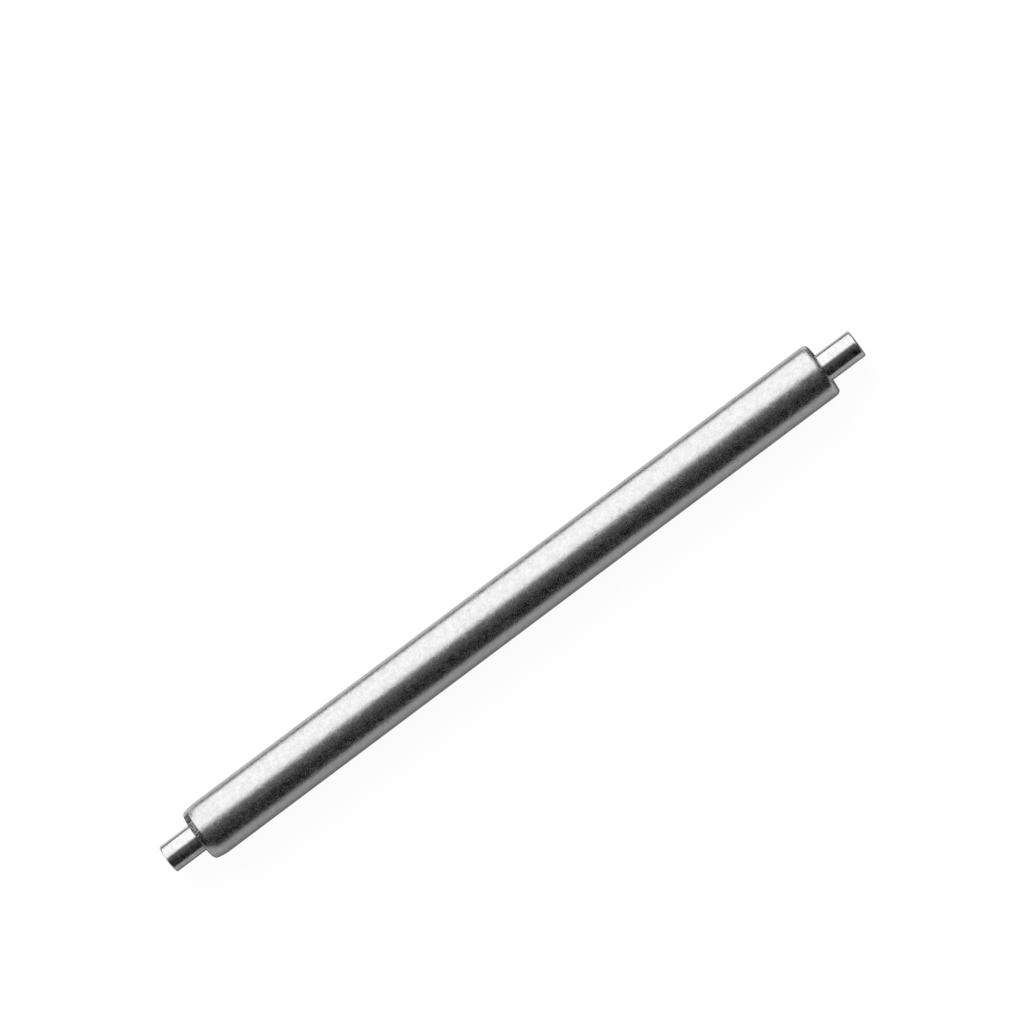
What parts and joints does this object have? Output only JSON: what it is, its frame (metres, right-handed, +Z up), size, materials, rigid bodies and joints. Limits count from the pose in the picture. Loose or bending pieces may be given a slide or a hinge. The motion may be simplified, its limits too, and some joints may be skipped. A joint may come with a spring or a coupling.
{
  "type": "spring bar",
  "caption": "Straight flangeless spring bar that holds a strap or bracelet between watch lugs: a thin steel tube with rolled-in ends and a sprung round pivot tip at each end.",
  "frame": {"origin": "the middle of the bar over its two tips, on its own axis", "axes": "+X runs along the bar towards the end that is rolled over last; +Z is up when the bar lies on a table"},
  "size_m": [0.0172, 0.0012, 0.0012],
  "materials": {
    "tube_steel": "satin, fine tumbled grain",
    "pivot_steel": "polished, with faint turning marks",
    "spring_steel": "bright drawn wire"
  },
  "bodies": {
    "barrel": {"tube": "tube_steel", "coil_spring": "spring_steel"},
    "left_plunger": {"left_pivot": "pivot_steel"},
    "right_plunger": {"right_pivot": "pivot_steel"}
  },
  "joints": [
    {"name": "left_press", "type": "slide", "parent": "barrel", "child": "left_plunger", "axis": [1, 0, 0], "range_m": [0, 0.00074], "stiffness_N_per_m": 830, "deforming": ["coil_spring"]},
    {"name": "right_press", "type": "slide", "parent": "barrel", "child": "right_plunger", "axis": [-1, 0, 0], "range_m": [0, 0.00074], "stiffness_N_per_m": 830, "deforming": ["coil_spring"]}
  ]
}
